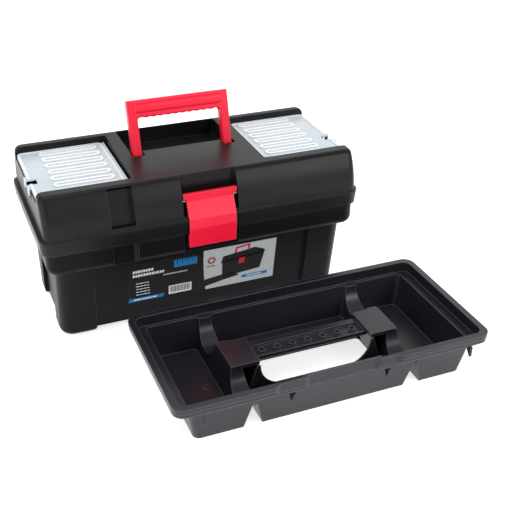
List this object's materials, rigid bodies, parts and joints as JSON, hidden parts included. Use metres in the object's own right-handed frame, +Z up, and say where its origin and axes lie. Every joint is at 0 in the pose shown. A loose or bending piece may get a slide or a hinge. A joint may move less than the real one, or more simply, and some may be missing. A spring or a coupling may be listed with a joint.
{
  "type": "toolbox with tray",
  "caption": "Long moulded plastic toolbox with a folding bow handle, a front latch, clear covered bins in its lid and a lift-out tray standing in front.",
  "frame": {"origin": "on the floor, under the middle of the bounding box of the closed box and the tray in front of it", "axes": "+X along the box's length towards its right end, +Y towards its back, +Z up"},
  "size_m": [0.4788, 0.4386, 0.2692],
  "materials": {
    "black_shell": "fine moulded grain",
    "tray_black": "satin moulded",
    "red_handle": "satin",
    "red_latch": "satin",
    "clear_cover": "milky, translucent",
    "steel_wire": "drawn wire",
    "printed_film": "printed film"
  },
  "bodies": {
    "base": {"base_shell": "black_shell", "front_label": "printed_film", "hinge_pin_left": "steel_wire", "hinge_pin_right": "steel_wire"},
    "lid": {"lid_shell": "black_shell", "latch_pin": "steel_wire"},
    "handle": {"carrying_handle": "red_handle"},
    "latch": {"front_latch": "red_latch"},
    "cover_left": {"organizer_cover_left": "clear_cover"},
    "cover_right": {"organizer_cover_right": "clear_cover"},
    "tray": {"lift_out_tray": "tray_black"}
  },
  "joints": [
    {"name": "lid_hinge", "type": "hinge", "parent": "base", "child": "lid", "pos_m": [-0.03135, 0.21485, 0.136], "axis": [-1, 0, 0], "range_deg": [0, 100]},
    {"name": "handle_fold", "type": "hinge", "parent": "lid", "child": "handle", "pos_m": [-0.03135, 0.11115, 0.1925], "axis": [-1, 0, 0], "range_deg": [-16, 72]},
    {"name": "latch_hinge", "type": "hinge", "parent": "lid", "child": "latch", "pos_m": [-0.02905, 0.01815, 0.1755], "axis": [-1, 0, 0], "range_deg": [0, 100]},
    {"name": "left_cover_hinge", "type": "hinge", "parent": "lid", "child": "cover_left", "pos_m": [-0.11985, 0.11165, 0.1955], "axis": [0, 1, 0], "range_deg": [0, 90]},
    {"name": "right_cover_hinge", "type": "hinge", "parent": "lid", "child": "cover_right", "pos_m": [0.05715, 0.11165, 0.1955], "axis": [0, -1, 0], "range_deg": [0, 90]},
    {"name": "tray_lift", "type": "slide", "parent": "base", "child": "tray", "axis": [0, 0, 1], "range_m": [0, 0.25]}
  ]
}
